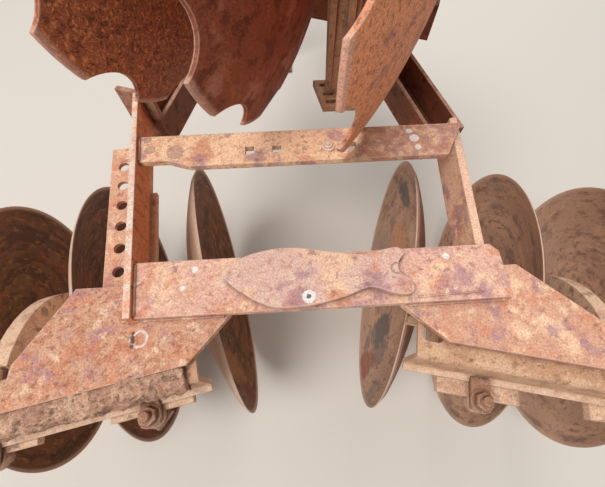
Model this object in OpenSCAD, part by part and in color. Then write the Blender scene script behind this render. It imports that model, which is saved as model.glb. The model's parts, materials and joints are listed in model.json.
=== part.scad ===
// Tandem disc harrow, half taken apart, as it stands in a yard.
// Built from the ground up: Y points forward, X to the right, Z up.
// Each node is then moved so that the towing bore is the origin.

/* [Discs] */
// Diameter of every disc
disc_d = 660; // [600:5:700]
// Thickness of the disc steel
disc_t = 6; // [5:0.5:8]
// Depth of the full dish, from rim to the sphere's pole
dish_depth = 82; // [70:1:90]
// Radius of the flat seat at the middle of a disc
seat_r = 60; // [56:1:66]
// Width of the ground edge round a plain disc
bevel_w = 14; // [8:1:20]
// Number of notches round a front disc
notch_count = 10; // [8:1:11]
// Radius of the arc that cuts a notch
notch_r = 74; // [60:1:80]
// Depth of a notch
notch_depth = 35; // [25:1:38]

/* [Gangs] */
// Discs on each gang
gang_discs = 3; // [2:1:3]
// Spacing of the discs on the rear gangs
rear_pitch = 235; // [225:5:260]
// Spacing of the discs on the front gang
front_pitch = 190; // [190:2:206]
// Half the gap between the rims of the two inner rear discs
inner_half = 211; // [205:1:240]
// Rearward turn of the left rear gang
left_angle = 11; // [8:0.5:14]
// Rearward turn of the right rear gang
right_angle = 13.4; // [8:0.1:15]
// How far the two rear gangs are out of line, half of it each
gang_stagger = 4; // [0:1:6]
// Side of the square gang axle
axle_w = 32; // [28:1:34]
// Radius of the turned journal inside a bearing
journal_r = 35; // [32:1:37]
// Radius of a spool's flange
flange_r = 54; // [50:1:55]

/* [Hangers] */
// Height from an axle to the underside of its gang beam
hanger_h = 326; // [318:1:332]
// Outer radius of a bearing housing
housing_r = 58; // [55:1:62]
// Length of a bearing housing
housing_l = 62; // [54:1:68]
// Thickness of a hanger's foot plate
foot_t = 15; // [12:1:18]
// Length of a rear hanger's foot, fore and aft
foot_l = 110; // [100:2:120]
// Width of a rear hanger's foot
foot_w = 128; // [120:1:134]
// Thickness of a hanger's arm
arm_t = 30; // [24:1:36]

/* [Rear frame] */
// Thickness of the cross bars
bar_t = 12; // [10:1:16]
// Width of the rear cross bar, fore and aft
rear_bar_w = 86; // [78:1:92]
// Middle of the rear cross bar, from the gangs' axle line
rear_bar_y = -135; // [-140:1:-132]
// Width of the front cross bar
front_bar_w = 71; // [64:1:76]
// Middle of the front cross bar
front_bar_y = 122.5; // [118:0.5:124]
// Right end of the cross bars
bar_right = 290; // [282:1:296]
// Thickness of the reinforcement plate on the rear bar
fish_t = 12; // [8:1:16]
// Thickness of the gusset plates under the rear bar
gusset_t = 12; // [8:1:14]
// Side of the square holes in the front bar
square_hole = 16; // [12:1:18]

/* [Side members] */
// Height of the left web's top edge above the cross bars
web_rise = 10; // [6:1:14]
// Thickness of the left web
web_t = 10; // [8:1:14]
// Outward turn of the left web
web_angle = 6.4; // [5:0.1:7.5]
// Inner face of the left web where it passes the gangs' axle line
web_x = -285; // [-288:1:-280]
// Depth of the left web
web_h = 78; // [70:1:90]
// Width of the left web's lower flange
web_flange = 11; // [8:1:20]
// Width of the perforated strip outside the left web
strip_w = 68; // [56:1:76]
// Length of the perforated strip
strip_l = 340; // [335:5:345]
// Spacing of the holes in the perforated strip
strip_pitch = 44.6; // [40:0.1:46]
// Radius of the holes in the perforated strip
strip_hole_r = 10; // [7:1:12]
// Width of the right side tube, which stands on edge
tube_w = 14; // [12:1:18]
// Depth of the right side tube
tube_h = 80; // [70:1:90]
// Wall of the right side tube
tube_wall = 3; // [2:0.5:4]
// Middle of the right side tube where it passes the gangs' axle line
tube_x = 278; // [274:1:282]
// Outward turn of the right side tube
tube_angle = 4.7; // [4:0.1:5.4]

/* [Gang beams] */
// Width of a rear gang beam
beam_w = 72; // [66:1:76]
// Height of a rear gang beam
beam_h = 80; // [70:1:82]
// Wall of a gang beam
beam_wall = 8; // [6:1:10]
// Lip turned out at the foot of a rear beam's rear wall
beam_lip = 10; // [6:1:14]
// Distance from an axle back to the middle of its hangers' feet
beam_back = 236; // [230:1:240]
// How far the right beam is bolted on ahead of the middle of its hangers' feet
right_beam_ahead = 14; // [8:1:16]
// Length of a rear gang beam
beam_l = 560; // [540:5:600]
// Height of the front gang beam
front_beam_h = 80; // [76:1:86]
// Width of the front gang beam
front_beam_w = 80; // [70:1:90]

/* [Drawbar] */
// Top of the drawbar arms, below the cross bars' top
arm_drop = 52; // [50:1:60]
// Width of a drawbar arm
arm_w = 75; // [72:1:80]
// Wall of a drawbar arm
arm_wall = 8; // [6:1:9]
// Distance from the axle line to the arms' front end
arm_front = 1150; // [1100:10:1250]
// Side of the square tongue tube
tongue_w = 80; // [74:1:90]
// Length of the tongue in front of the arms
tongue_l = 300; // [280:5:340]
// Thickness of a clevis ear
ear_t = 20; // [16:1:25]
// Gap between the clevis ears
ear_gap = 40; // [32:1:50]
// Radius of the towing bore
pin_r = 14; // [12:0.5:16]

/* [Stand] */
// Side of the stand's square leg
leg_w = 50; // [44:1:56]
// Wall of the stand's leg and sleeve
leg_wall = 5; // [4:0.5:6]
// Clearance on each side of the leg in its sleeve
leg_gap = 0.5; // [0.3:0.1:0.8]
// Length of the sleeve
sleeve_l = 150; // [120:5:180]
// Side of the square foot
pad_w = 160; // [130:5:200]
// Thickness of the foot
pad_t = 12; // [8:1:16]

/* [Front gang laid on the frame] */
// Rim centre of its right-hand disc, to the right
laid_x = 139; // [137:1:141]
// Rim centre of its right-hand disc, forward
laid_y = 293; // [292:0.5:295]
// How far its rims reach below the top of the cross bars
laid_sink = 60; // [56:0.5:60]
// Turn of its axle
laid_angle = 20.6; // [20:0.1:21]

/* [Hidden] */

// Smoothness of large and of small round parts
fine = 160;
round_fn = 64;
small_fn = 32;
// Running clearance of a journal in its bearing, and of a disc on its axle
run_gap = 0.05;
slip_gap = 0.2;
// Seat gap between pieces that lie on each other loosely
lay_gap = 0.3;
// How far a cutter passes through what it cuts
cut = 1;
// How far pieces that are cast or welded together run into each other
weld = 2;

// Dish of a disc: inner sphere through the rim, and the flat seat inside it
disc_r = disc_d / 2;
dish_r = (disc_r * disc_r + dish_depth * dish_depth) / (2 * dish_depth);
dish_c = dish_r - dish_depth;
seat_in = sqrt(dish_r * dish_r - seat_r * seat_r) - dish_c;
seat_out = seat_in + disc_t;
notch_out = disc_r - notch_depth + notch_r;
axle_z = disc_r;

// Along a gang, measured from the first disc's rim plane
flange_t = 14;
end_plate_t = 14;
nut_h = 26;
nut_r = 32;
thread_r = axle_w / 2 - 1;
thread_l = 18;

// Levels of the frame, from the axles up
beam_z = axle_z + hanger_h;
gusset_z = beam_z + beam_h;
bar_z = gusset_z + gusset_t;
frame_top = bar_z + bar_t;
laid_z = frame_top + disc_r - laid_sink;
web_top = frame_top + web_rise;
web_low = web_top - web_h;
arm_top = frame_top - arm_drop;
arm_h = 76;
arm_z = arm_top - arm_h;
rear_edge = rear_bar_y - rear_bar_w / 2;
front_edge = rear_bar_y + rear_bar_w / 2;
near_edge = front_bar_y - front_bar_w / 2;
far_edge = front_bar_y + front_bar_w / 2;

// Towing bore
tongue_z = arm_z + (arm_h - tongue_w) / 2;
ear_r = 34;
ear_l = 70;
hitch_y = arm_front + tongue_l + ear_l;
hitch_z = tongue_z + tongue_w / 2;

// Colours by part
rust_pale = [0.72, 0.50, 0.38];
rust_red = [0.48, 0.24, 0.15];
rust_dark = [0.33, 0.16, 0.11];
worn_steel = [0.36, 0.27, 0.22];
soil_tan = [0.62, 0.48, 0.36];
cast_grey = [0.45, 0.36, 0.30];

// Moves a piece from the yard's frame to the towing bore's
module from_hitch() {
  translate([0, -hitch_y, -hitch_z]) children();
}

// Puts a piece on the right side, or mirrors it to the left
module on_side(side) {
  if (side > 0) children();
  else mirror([1, 0, 0]) children();
}

// A gang's own frame: X runs along the axle, away from the discs' hollow side
module at_rear_gang(side) {
  turn = side > 0 ? right_angle : left_angle;
  from_hitch() on_side(side) translate([inner_half, -side * gang_stagger, axle_z])
    rotate([0, 0, -turn]) children();
}
module at_front_gang() {
  from_hitch() translate([laid_x, laid_y, laid_z]) rotate([0, 0, -laid_angle]) children();
}

// Turns a solid of revolution from Z to the gang's X
module along_axle() {
  rotate([0, 90, 0]) children();
}

// Plain dished disc: two concentric spheres inside a cylinder, with a flat seat
module dish_blank() {
  intersection() {
    translate([0, 0, -dish_c]) difference() {
      sphere(r = dish_r + disc_t, $fn = fine);
      sphere(r = dish_r, $fn = fine);
    }
    cylinder(r = disc_r, h = seat_out, $fn = fine);
  }
  translate([0, 0, seat_in]) cylinder(r = seat_r, h = disc_t, $fn = round_fn);
}

module axle_hole() {
  side = axle_w + 2 * slip_gap;
  translate([-side / 2, -side / 2, seat_in - cut]) cube([side, side, disc_t + 2 * cut]);
}

// Ground edge: a shallow cone taken off the outer face at the rim
module edge_bevel() {
  rim_out = sqrt(pow(dish_r + disc_t, 2) - disc_r * disc_r) - dish_c;
  inner_out = sqrt(pow(dish_r + disc_t, 2) - pow(disc_r - bevel_w, 2)) - dish_c;
  rotate_extrude($fn = fine)
    polygon([[disc_r - bevel_w, inner_out], [disc_r + cut, 1.5],
             [disc_r + cut, rim_out + bevel_w], [disc_r - bevel_w, rim_out + bevel_w]]);
}

module plain_disc() {
  difference() {
    dish_blank();
    axle_hole();
    edge_bevel();
  }
}

// Notched disc: arcs bite the rim, first is the angle of one notch from straight down
module notched_disc(first) {
  difference() {
    rotate([0, 0, first]) difference() {
      dish_blank();
      for (i = [0 : notch_count - 1])
        rotate([0, 0, i * 360 / notch_count])
          translate([notch_out, 0, -cut]) cylinder(r = notch_r, h = dish_depth, $fn = round_fn);
    }
    axle_hole();
  }
}

// Spool with a turned journal for a bearing, which starts at bearing_at
module bearing_spool(length, bearing_at) {
  bore = axle_w * 0.7072 + 1;
  difference() {
    union() {
      cylinder(r = flange_r, h = bearing_at, $fn = round_fn);
      cylinder(r = journal_r, h = length, $fn = round_fn);
      translate([0, 0, bearing_at + housing_l + 2])
        cylinder(r = flange_r, h = flange_t, $fn = round_fn);
      translate([0, 0, length - flange_t]) cylinder(r = flange_r, h = flange_t, $fn = round_fn);
    }
    translate([0, 0, -cut]) cylinder(r = bore, h = length + 2 * cut, $fn = round_fn);
  }
}

// Square axle with a round end plate and a nut on each end, from first to last disc
module gang_axle(pitch) {
  span = (gang_discs - 1) * pitch + disc_t;
  along_axle() translate([0, 0, seat_in]) {
    translate([-axle_w / 2, -axle_w / 2, -end_plate_t]) cube([axle_w, axle_w, span + 2 * end_plate_t]);
    for (end = [-1, 1])
      translate([0, 0, end < 0 ? weld - end_plate_t : span + end_plate_t - weld])
        mirror([0, 0, end < 0 ? 1 : 0]) {
          cylinder(r = nut_r, h = nut_h + weld, $fn = 6);
          cylinder(r = thread_r, h = nut_h + thread_l + weld, $fn = small_fn);
        }
    for (z = [-end_plate_t, span])
      translate([0, 0, z]) cylinder(r = flange_r, h = end_plate_t, $fn = round_fn);
  }
}

// All discs of a gang, at the gang's pitch
module gang_plain_discs() {
  for (i = [0 : gang_discs - 1])
    translate([i * rear_pitch, 0, 0]) along_axle() plain_disc();
}

// The right-hand front disc lies with a notch on the front bar's front top edge
seat_drop = laid_z - frame_top;
function seat_back(along) =
  (laid_y - front_bar_y - front_bar_w / 2 - along * sin(laid_angle)) / cos(laid_angle);
function seat_reach(along) = norm([seat_back(along), seat_drop]);
function outer_face(radius) = sqrt(pow(dish_r + disc_t, 2) - radius * radius) - dish_c;
seat_face = outer_face(seat_reach(outer_face(seat_reach(0))));
seat_turn = acos((pow(notch_out, 2) + pow(seat_reach(seat_face), 2) - pow(notch_r - lay_gap, 2))
                 / (2 * notch_out * seat_reach(seat_face)));
seat_phase = -atan2(seat_back(seat_face), seat_drop) - seat_turn;

// Angle of a notch from straight down, for each front disc from the right one to the left
front_phases = [seat_phase, -51, -56];
module gang_notched_discs() {
  for (i = [0 : gang_discs - 1])
    translate([(gang_discs - 1 - i) * front_pitch, 0, 0]) along_axle() notched_disc(front_phases[i]);
}

module gang_spools(pitch) {
  for (i = [0 : gang_discs - 2])
    translate([i * pitch + seat_out, 0, 0]) along_axle() bearing_spool(pitch - disc_t, flange_t);
}

// Middle of a bearing along the gang, for the space after disc i
function bearing_x(pitch, i) = i * pitch + seat_out + flange_t + 1 + housing_l / 2;

// Split bearing housing with a flat pad towards its hanger, bore along X
pad_h = housing_r + 8;
pad_l = 92;
clamp_ear = 16;
clamp_t = 20;
module bearing() {
  difference() {
    union() {
      translate([-housing_l / 2, 0, 0]) along_axle() cylinder(r = housing_r, h = housing_l, $fn = round_fn);
      translate([-housing_l / 2, -pad_l / 2, 0]) cube([housing_l, pad_l, pad_h]);
      translate([-housing_l / 2, -housing_r - clamp_ear, -clamp_t / 2])
        cube([housing_l, 2 * (housing_r + clamp_ear), clamp_t]);
    }
    translate([-housing_l / 2 - cut, 0, 0]) along_axle()
      cylinder(r = journal_r + run_gap, h = housing_l + 2 * cut, $fn = round_fn);
  }
}

// Points on a quarter of an ellipse that leaves upwards and ends level, going back
function sweep_back(y0, z0, back, rise, steps) =
  [for (i = [0 : steps]) [y0 - back * (1 - cos(90 * i / steps)), z0 + rise * sin(90 * i / steps)]];

// Rear hanger: a neck that curves back from the bearing's pad to a foot under the beam
foot_shift = -23;
neck_h = 54;
ear_reach = 59;
ear_round = 17;
module rear_hanger() {
  rise = hanger_h - foot_t - pad_h + weld;
  end_y = -beam_back - foot_l / 2 + neck_h / 3;
  root_w = pad_l - 12;
  upper = sweep_back(root_w / 2, pad_h, beam_back + root_w / 2 - 20, rise, 14);
  lower = sweep_back(-root_w / 2, pad_h, -end_y - root_w / 2, rise - neck_h, 14);
  translate([arm_t / 2, 0, 0]) rotate([90, 0, -90]) mirror([1, 0, 0])
    linear_extrude(height = arm_t)
      polygon(concat(upper, [[end_y, pad_h + rise]], [for (i = [14 : -1 : 0]) lower[i]]));
  translate([foot_shift, -beam_back, hanger_h - foot_t]) {
    translate([-foot_w / 2, -foot_l / 2, 0]) cube([foot_w, foot_l, foot_t]);
    for (y = [-ear_reach, ear_reach])
      translate([0, y, 0]) cylinder(r = ear_round, h = foot_t, $fn = small_fn);
  }
}

// Front hanger, hanging loose: a ribbed standard with a slotted foot at its lower end.
// The foot points straight back, so it is turned against the gang's axle.
slot_w = 10;
slot_l = 24;
slot_places = [6, -20, -42];
loose_foot = [[-52, 22], [-36, -56], [32, -56], [32, 22]];
slot_in = 14;
rib_t = 12;
module slot_cut(x, y) {
  translate([x, y, 0]) {
    translate([0, -slot_w / 2, -cut]) cube([slot_l - slot_w, slot_w, foot_t + 2 * cut]);
    translate([0, 0, -cut]) cylinder(d = slot_w, h = foot_t + 2 * cut, $fn = small_fn);
    translate([slot_l - slot_w, 0, -cut]) cylinder(d = slot_w, h = foot_t + 2 * cut, $fn = small_fn);
  }
}
module front_hanger() {
  rise = hanger_h - foot_t - pad_h + weld;
  top_out = pad_l / 2 - rib_t;
  toe_out = 22;
  foot_x = loose_foot[0][0];
  lean = (loose_foot[1][0] - foot_x) / (loose_foot[0][1] - loose_foot[1][1]);
  translate([0, 0, pad_h]) rotate([90, 0, 0]) translate([0, 0, toe_out - rib_t])
    linear_extrude(height = rib_t)
      polygon([[-housing_l / 2, 0], [housing_l / 2, 0], [toe_out, rise], [-toe_out, rise]]);
  for (x = [-toe_out, toe_out - rib_t])
    translate([x, 0, pad_h]) rotate([90, 0, 90]) linear_extrude(height = rib_t)
      polygon([[-top_out, 0], [top_out, 0], [toe_out, rise], [-toe_out, rise]]);
  rotate([0, 0, laid_angle]) translate([0, 0, hanger_h - foot_t]) difference() {
    linear_extrude(height = foot_t) polygon(loose_foot);
    for (y = slot_places)
      slot_cut(foot_x + lean * (loose_foot[0][1] - y) + slot_in, y);
  }
}

// Frame lines: x of the left web's outer face and of the right tube's middle at a given y
function web_out(y) = web_x - web_t - tan(web_angle) * y;
function tube_mid(y) = tube_x + tan(tube_angle) * y;
// y of a line behind a rear gang's axle and parallel to it, at a distance x to its side
function gang_line(side, back, x) =
  let (turn = side > 0 ? right_angle : left_angle)
    -side * gang_stagger - back / cos(turn) - (x - inner_half) * tan(turn);

module rear_crossbar() {
  color(rust_pale) from_hitch() translate([0, 0, bar_z]) linear_extrude(height = bar_t)
    polygon([[web_out(rear_edge) + web_t + lay_gap, rear_edge], [bar_right, rear_edge],
             [bar_right, front_edge - bar_t], [bar_right - bar_t, front_edge],
             [web_out(front_edge) + web_t + lay_gap, front_edge]]);
}

// Closed smooth curve through a short list of points
function curve_point(a, b, c, d, t) =
  0.5 * ((2 * b) + (c - a) * t + (2 * a - 5 * b + 4 * c - d) * t * t
         + (3 * b - a - 3 * c + d) * t * t * t);
function smooth_loop(pts, steps) =
  let (n = len(pts))
    [for (i = [0 : n - 1], s = [0 : steps - 1])
       curve_point(pts[(i + n - 1) % n], pts[i], pts[(i + 1) % n], pts[(i + 2) % n], s / steps)];

// Outline of the reinforcement plate: nose, swollen body, waist and forked tail
fish_outline = [
  [-137, 12], [-118, 32], [-84, 45], [-35, 50], [26, 40], [71, 33], [109, 39], [129, 41],
  [138, 32], [128, 19], [126, 3], [139, -10], [143, -24], [134, -33], [110, -29], [79, -19],
  [41, -31], [-10, -41], [-60, -41], [-103, -20]
];
module fish_plate() {
  color(rust_pale) from_hitch() translate([0, rear_bar_y, frame_top])
    linear_extrude(height = fish_t) polygon(smooth_loop(fish_outline, 4));
}

// Square holes along the front bar, left to right, and where its left end is cut narrower
hole_places = [-99, -50, 86];
hole_back = 6;
step_in = 14;
step_places = [-245, -204];
module front_crossbar() {
  color(rust_pale) from_hitch() translate([0, 0, bar_z]) difference() {
    linear_extrude(height = bar_t)
      polygon([[web_out(near_edge + step_in) + web_t + lay_gap, near_edge + step_in],
               [step_places[0], near_edge + step_in], [step_places[1], near_edge],
               [tube_mid(near_edge) - tube_w - step_in, near_edge],
               [tube_mid(far_edge) + tube_w / 2, far_edge],
               [web_out(far_edge) + web_t + lay_gap, far_edge]]);
    for (x = hole_places)
      translate([x - square_hole / 2, front_bar_y - hole_back - square_hole / 2, -cut])
        cube([square_hole, square_hole, bar_t + 2 * cut]);
  }
}

// Drawbar arms: from the side members' front ends in to the tongue
arm_start = [[-326, 262], [300, 185]];
arm_end_x = 30;
end_t = 10;
// Side of a block that trims a piece, longer than anything it trims
block = 400;
function arm_turn(side) =
  let (p = arm_start[side > 0 ? 1 : 0]) atan2(arm_front - p[1], side * arm_end_x - p[0]);
function arm_length(side) =
  let (p = arm_start[side > 0 ? 1 : 0]) norm([arm_front - p[1], side * arm_end_x - p[0]]);
module at_arm(side) {
  p = arm_start[side > 0 ? 1 : 0];
  translate([p[0], p[1], 0]) rotate([0, 0, arm_turn(side)]) children();
}
// Everything ahead of an arm's rear end, which cuts the side members to a mitre
module ahead_of_arm(side) {
  at_arm(side) translate([0, -block / 2, arm_z - arm_h]) cube([block, block, block]);
}
module drawbar_arm(side) {
  length = arm_length(side) + tongue_w;
  end_h = side > 0 ? arm_h : web_top - arm_z;
  difference() {
    at_arm(side) difference() {
      union() {
        translate([0, -arm_w / 2, arm_z]) cube([length, arm_w, arm_h]);
        translate([0, -arm_w / 2, arm_z]) cube([end_t, arm_w, end_h]);
      }
      translate([end_t, -arm_w / 2 + arm_wall, arm_z + arm_wall])
        cube([length, arm_w - 2 * arm_wall, arm_h]);
    }
    translate([-tongue_w / 2, arm_front - block, arm_z - cut]) cube([tongue_w, 2 * block, block]);
    translate([-block / 2, arm_front, arm_z - cut]) cube([block, block, block]);
    translate([side > 0 ? -block : 0, arm_front - block, arm_z - cut]) cube([block, 2 * block, block]);
  }
}
module left_arm() {
  color(rust_dark) from_hitch() drawbar_arm(-1);
}
module right_arm() {
  color(rust_dark) from_hitch() drawbar_arm(1);
}

// Left side member: a plate on edge with a lower flange, and a lip that lies on the gusset
web_rear = rear_edge - 3;
member_ahead = 58;
web_cut = rear_edge + member_ahead;
web_front = arm_start[0][1] + arm_w;
module at_web() {
  translate([web_out(0), 0, 0]) rotate([0, 0, web_angle]) children();
}
module left_web() {
  color(rust_red) from_hitch() difference() {
    at_web() {
      rotate([90, 0, 90]) linear_extrude(height = web_t)
        polygon([[web_rear, bar_z], [web_cut, bar_z], [web_cut, web_low], [web_front, web_low],
                 [web_front, web_top], [web_rear, web_top]]);
      translate([web_t - weld, web_cut, web_low])
        cube([web_flange + weld, near_edge - web_cut - step_in, web_t]);
    }
    ahead_of_arm(-1);
  }
}

// Flat strip outside the web, with a row of holes that a bolt pins when a gang's turn is set
strip_t = 8;
strip_rear = rear_edge + 30;
hole_out = strip_w / 2 + strip_hole_r;
module hole_strip() {
  hole_n = floor((strip_l - 2 * strip_hole_r) / strip_pitch);
  color(rust_pale) from_hitch() at_web() difference() {
    translate([-strip_w, strip_rear, web_low]) cube([strip_w, strip_l, strip_t]);
    for (i = [0 : hole_n - 1])
      translate([-hole_out, strip_rear + strip_pitch * 0.6 + i * strip_pitch, web_low - cut])
        cylinder(r = strip_hole_r, h = strip_t + 2 * cut, $fn = small_fn);
  }
}

// Right side member: a flat tube on edge, under the two bars
tube_rear = rear_edge + member_ahead;
tube_front = arm_start[1][1] + arm_w;
module right_tube() {
  color(rust_pale) from_hitch() difference() {
    translate([tube_mid(0), 0, bar_z - tube_h]) rotate([0, 0, -tube_angle])
      translate([-tube_w / 2, tube_rear, 0]) difference() {
        cube([tube_w, tube_front - tube_rear, tube_h]);
        translate([tube_wall, -cut, tube_wall])
          cube([tube_w - 2 * tube_wall, tube_front - tube_rear + 2 * cut, tube_h - 2 * tube_wall]);
      }
    ahead_of_arm(1);
  }
}

// Gusset plates: under the rear bar, out over the gang beams
gusset_in = 128;
gusset_mid = 187;
gusset_out = 430;
gusset_wing = 60;
gusset_front = rear_edge + 54;
module gusset(side) {
  back = side > 0 ? beam_back - 6 : beam_back + 12;
  wing_x = side > 0 ? tube_mid(0) + tube_h / 2 : web_h - web_x;
  translate([0, 0, gusset_z]) linear_extrude(height = gusset_t)
    polygon([for (p = [[gusset_in - gusset_t / 2, gusset_front], [gusset_in, rear_edge],
                       [gusset_mid, gang_line(side, back, gusset_mid)],
                       [gusset_out, gang_line(side, back, gusset_out)],
                       [gusset_out, gang_line(side, back, gusset_out) + gusset_wing],
                       [wing_x, gusset_front]]) [side * p[0], p[1]]]);
}
module left_gusset() {
  color(rust_pale) from_hitch() gusset(-1);
}
module right_gusset() {
  color(rust_pale) from_hitch() gusset(1);
}

// Rear gang beam: a rolled channel, open below, whose rear wall turns out in a small lip
beam_round = 8;
function turn_points(y, z, r, from, to) =
  [for (i = [0 : 4]) [y + r * cos(from + (to - from) * i / 4), z + r * sin(from + (to - from) * i / 4)]];
module rear_beam(inner_end, back, eye) {
  half = beam_w / 2;
  inside = half - beam_wall;
  top = beam_h - beam_wall;
  translate([inner_end, -back, hanger_h]) difference() {
    rotate([90, 0, 90]) linear_extrude(height = beam_l)
      polygon(concat([[-half - beam_lip, 0]],
                     turn_points(-half - beam_lip, beam_lip + beam_wall / 2, beam_lip, -90, 0),
                     turn_points(beam_round - half, beam_h - beam_round, beam_round, 180, 90),
                     turn_points(half - beam_round, beam_h - beam_round, beam_round, 90, 0),
                     [[half, 0], [inside, 0], [inside, top], [-inside, top], [-inside, 0]]));
    if (eye)
      translate([beam_round + beam_wall, 0, top - cut]) {
        cylinder(r = 10, h = beam_wall + 2 * cut, $fn = small_fn);
        translate([0, -10, 0]) cube([12, 20, beam_wall + 2 * cut]);
        translate([12, 0, 0]) cylinder(r = 10, h = beam_wall + 2 * cut, $fn = small_fn);
      }
  }
}
module left_gang_beam() {
  color(soil_tan) at_rear_gang(-1) rear_beam(13, beam_back, false);
}
module right_gang_beam() {
  color(soil_tan) at_rear_gang(1) rear_beam(-12, beam_back - right_beam_ahead, true);
}

// Front gang beam: lies across the arms, and the laid gang's discs lean on its edge
lean_rise = laid_z - (arm_top + front_beam_h);
lean_y = sqrt(disc_r * disc_r - lean_rise * lean_rise);
front_beam_l = 615;
front_beam_out = 105;
module front_gang_beam() {
  color(rust_red) from_hitch() translate([laid_x, laid_y, arm_top]) rotate([0, 0, -laid_angle])
    translate([front_beam_out - front_beam_l, lean_y + lay_gap, 0]) difference() {
      cube([front_beam_l, front_beam_w, front_beam_h]);
      translate([-cut, beam_wall, beam_wall])
        cube([front_beam_l + 2 * cut, front_beam_w - 2 * beam_wall, front_beam_h - 2 * beam_wall]);
    }
}

// Tongue: a square tube between the arms' ends
module tongue() {
  length = tongue_l + 2 * tongue_w;
  color(rust_red) from_hitch() translate([-tongue_w / 2, arm_front - 2 * tongue_w, tongue_z]) difference() {
    cube([tongue_w, length, tongue_w]);
    translate([arm_wall, -cut, arm_wall])
      cube([tongue_w - 2 * arm_wall, length + 2 * cut, tongue_w - 2 * arm_wall]);
  }
}

// Towing clevis: a plate on the tongue's end and two ears with an upright bore
plate_t = 16;
module clevis() {
  color(rust_dark) {
    translate([-tongue_w / 2, -ear_l, -tongue_w / 2]) cube([tongue_w, plate_t, tongue_w]);
    for (z = [-ear_gap / 2 - ear_t, ear_gap / 2])
      translate([0, 0, z]) difference() {
        union() {
          translate([-ear_r, plate_t - weld - ear_l, 0]) cube([2 * ear_r, ear_l - plate_t + weld, ear_t]);
          cylinder(r = ear_r, h = ear_t, $fn = round_fn);
        }
        translate([0, 0, -cut]) cylinder(r = pin_r, h = ear_t + 2 * cut, $fn = round_fn);
      }
  }
}

// Parking stand: a leg that slides in a clamped sleeve on the tongue's left side
sleeve_in = leg_w + 2 * leg_gap;
sleeve_w = sleeve_in + 2 * leg_wall;
stand_x = tongue_w / 2 + sleeve_w / 2;
stand_ahead = 190;
stand_y = arm_front + stand_ahead;
sleeve_z = hitch_z - sleeve_l / 2;
leg_above = 60;
leg_top = hitch_z + sleeve_l / 2 + leg_above;
screw_r = 7;
screw_l = 62;
handle_l = 90;
module at_stand() {
  from_hitch() on_side(-1) translate([stand_x, stand_y, 0]) children();
}
module stand_sleeve() {
  color(rust_dark) at_stand() translate([0, 0, sleeve_z]) {
    difference() {
      translate([-sleeve_w / 2, -sleeve_w / 2, 0]) cube([sleeve_w, sleeve_w, sleeve_l]);
      translate([-sleeve_in / 2, -sleeve_in / 2, -cut]) cube([sleeve_in, sleeve_in, sleeve_l + 2 * cut]);
    }
    translate([sleeve_w / 2 - weld, 0, sleeve_l / 2]) along_axle() {
      cylinder(r = 15, h = 14 + weld, $fn = 6);
      cylinder(r = screw_r, h = screw_l, $fn = small_fn);
    }
    translate([sleeve_w / 2 + screw_l - 2 * screw_r, -handle_l / 2, sleeve_l / 2]) rotate([-90, 0, 0])
      cylinder(r = screw_r - 1, h = handle_l, $fn = small_fn);
  }
}
module stand_leg() {
  inner = leg_w - 2 * leg_wall;
  color(rust_red) at_stand() translate([-leg_w / 2, -leg_w / 2, pad_t]) difference() {
    cube([leg_w, leg_w, leg_top - pad_t]);
    translate([leg_wall, leg_wall, -cut]) cube([inner, inner, leg_top - pad_t - leg_wall]);
  }
}
module stand_foot() {
  color(rust_dark) at_stand() translate([-pad_w / 2, -pad_w / 2, 0]) cube([pad_w, pad_w, pad_t]);
}

// Rear gangs' carriers
module rear_hanger_at(side, i) {
  color(cast_grey) at_rear_gang(side) translate([bearing_x(rear_pitch, i), 0, 0]) rear_hanger();
}
module rear_bearing_at(side, i) {
  color(cast_grey) at_rear_gang(side) translate([bearing_x(rear_pitch, i), 0, 0]) bearing();
}
module left_hanger_1() { rear_hanger_at(-1, 0); }
module left_hanger_2() { rear_hanger_at(-1, 1); }
module right_hanger_1() { rear_hanger_at(1, 0); }
module right_hanger_2() { rear_hanger_at(1, 1); }
module left_bearing_1() { rear_bearing_at(-1, 0); }
module left_bearing_2() { rear_bearing_at(-1, 1); }
module right_bearing_1() { rear_bearing_at(1, 0); }
module right_bearing_2() { rear_bearing_at(1, 1); }

// Turning parts of the rear gangs
module left_discs() {
  color(worn_steel) at_rear_gang(-1) gang_plain_discs();
}
module right_discs() {
  color(worn_steel) at_rear_gang(1) gang_plain_discs();
}
module left_axle() {
  color(cast_grey) at_rear_gang(-1) gang_axle(rear_pitch);
}
module right_axle() {
  color(cast_grey) at_rear_gang(1) gang_axle(rear_pitch);
}
module left_spools() {
  color(cast_grey) at_rear_gang(-1) gang_spools(rear_pitch);
}
module right_spools() {
  color(cast_grey) at_rear_gang(1) gang_spools(rear_pitch);
}

// Front gang, laid on the frame: its first disc is the left-hand one
front_first = -(gang_discs - 1) * front_pitch;
module at_laid_discs() {
  at_front_gang() translate([front_first, 0, 0]) children();
}
module front_discs() {
  color(rust_dark) at_laid_discs() gang_notched_discs();
}
module front_axle() {
  color(cast_grey) at_laid_discs() gang_axle(front_pitch);
}
module front_spools() {
  color(cast_grey) at_laid_discs() gang_spools(front_pitch);
}
module hanging(i) {
  at_laid_discs() translate([bearing_x(front_pitch, i), 0, 0]) mirror([0, 0, 1]) children();
}
module front_hanger_1() { color(cast_grey) hanging(1) front_hanger(); }
module front_hanger_2() { color(cast_grey) hanging(0) front_hanger(); }
module front_bearing_1() { color(cast_grey) hanging(1) bearing(); }
module front_bearing_2() { color(cast_grey) hanging(0) bearing(); }

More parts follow.
